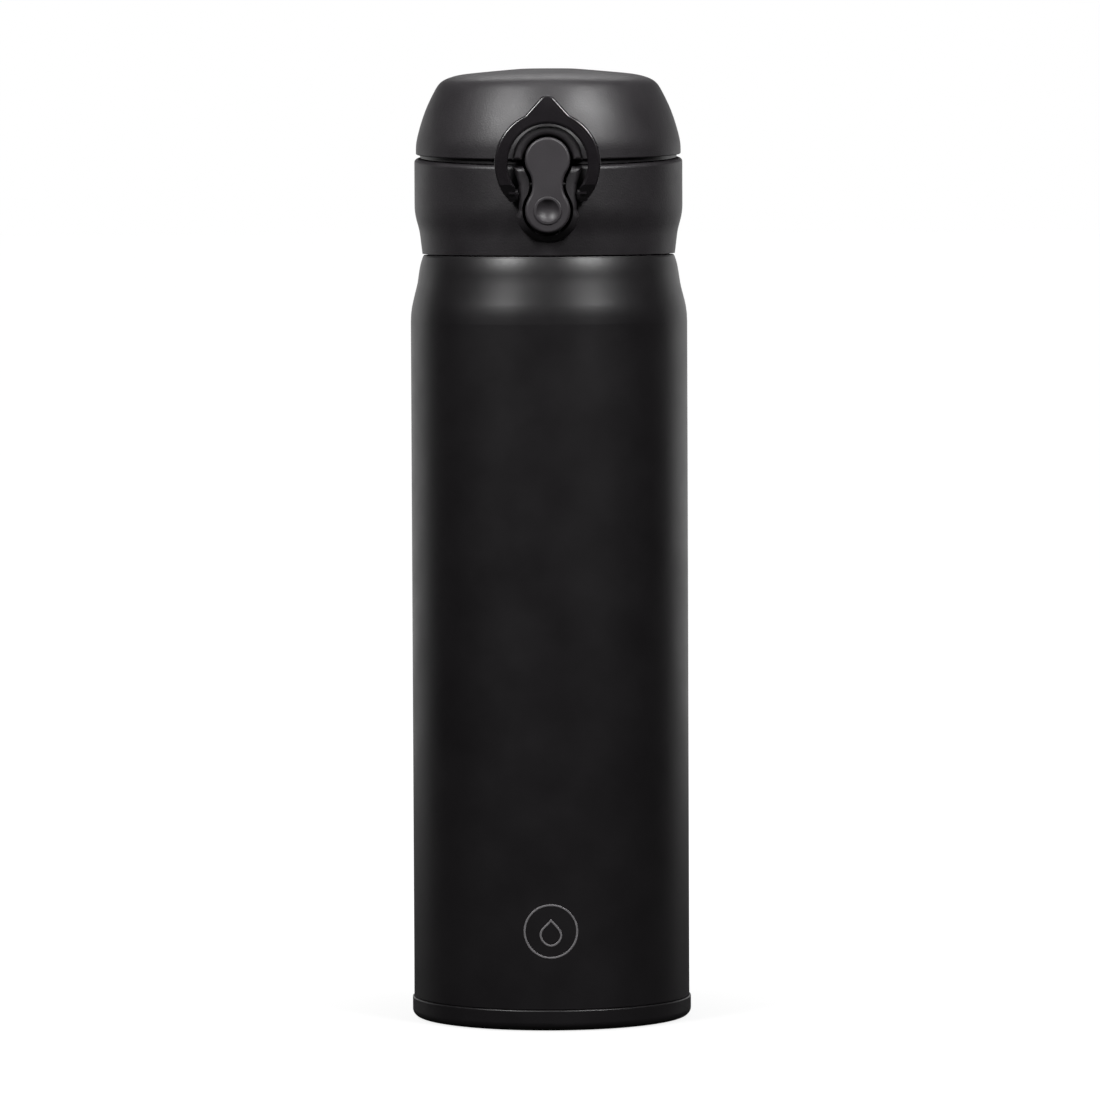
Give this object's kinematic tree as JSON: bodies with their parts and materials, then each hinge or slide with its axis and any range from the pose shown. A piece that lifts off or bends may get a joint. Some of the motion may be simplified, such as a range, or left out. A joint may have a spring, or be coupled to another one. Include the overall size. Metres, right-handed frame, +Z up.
{
  "type": "vacuum flask",
  "caption": "Slim double-walled steel drinking flask with a screw-in stopper, a sprung flip lid, a latch button and a swinging lock ring.",
  "frame": {"origin": "centre of the resting face on the bottle's axis", "axes": "+Z up the bottle, -Y towards the latch, +Y towards the lid hinge"},
  "size_m": [0.0708, 0.0776, 0.2404],
  "materials": {
    "body_paint": "fine matt powder coat",
    "steel": "electropolished inside",
    "solder": "dull bead",
    "getter_metal": "pressed powder",
    "foil": "bright thin foil",
    "lid_plastic": "fine spark texture",
    "inner_plastic": "smooth moulding",
    "silicone": "soft silicone",
    "pin_steel": "drawn wire and rod",
    "button_plastic": "satin",
    "ring_plastic": "semi gloss"
  },
  "bodies": {
    "bottle": {"outer_shell": "body_paint", "base_cap": "body_paint", "outer_bottom": "steel", "vacuum_seal": "solder", "getter": "getter_metal", "inner_flask": "steel", "inner_bottom": "steel", "radiation_foil": "foil"},
    "seal_ring": {"spout_gasket": "silicone"},
    "stopper": {"collar_shell": "lid_plastic", "thread_sleeve": "inner_plastic", "spout": "inner_plastic", "hinge_pin": "pin_steel", "lid_spring": "pin_steel", "latch_pin": "pin_steel", "latch_spring": "pin_steel"},
    "button": {"latch_button": "button_plastic"},
    "ring": {"lock_ring": "ring_plastic"},
    "lid": {"lid_shell": "lid_plastic", "lid_liner": "inner_plastic", "lid_gasket": "silicone"}
  },
  "joints": [
    {"name": "stopper_lift", "type": "slide", "parent": "bottle", "child": "seal_ring", "axis": [0, 0, 1], "range_m": [0, 0.016]},
    {"name": "stopper_turn", "type": "hinge", "parent": "seal_ring", "child": "stopper", "pos_m": [0, 0, 0.2], "axis": [0, 0, 1], "range_deg": [0, 1440]},
    {"name": "lid_hinge", "type": "hinge", "parent": "stopper", "child": "lid", "pos_m": [0, 0.036, 0.2186], "axis": [-1, 0, 0], "range_deg": [0, 115], "deforming": ["lid_spring"]},
    {"name": "latch_rock", "type": "hinge", "parent": "stopper", "child": "button", "pos_m": [0, -0.0347, 0.2112], "axis": [1, 0, 0], "range_deg": [0, 7], "stiffness_Nm_per_rad": 0.6, "springref_deg": -2.86, "deforming": ["latch_spring"]},
    {"name": "ring_swing", "type": "hinge", "parent": "stopper", "child": "ring", "pos_m": [0, -0.0349, 0.2087], "axis": [1, 0, 0], "range_deg": [0, 130]}
  ],
  "couplings": [
    {"joint": "stopper_lift", "follows": "stopper_turn", "m_per_rad": 0.00063662}
  ]
}
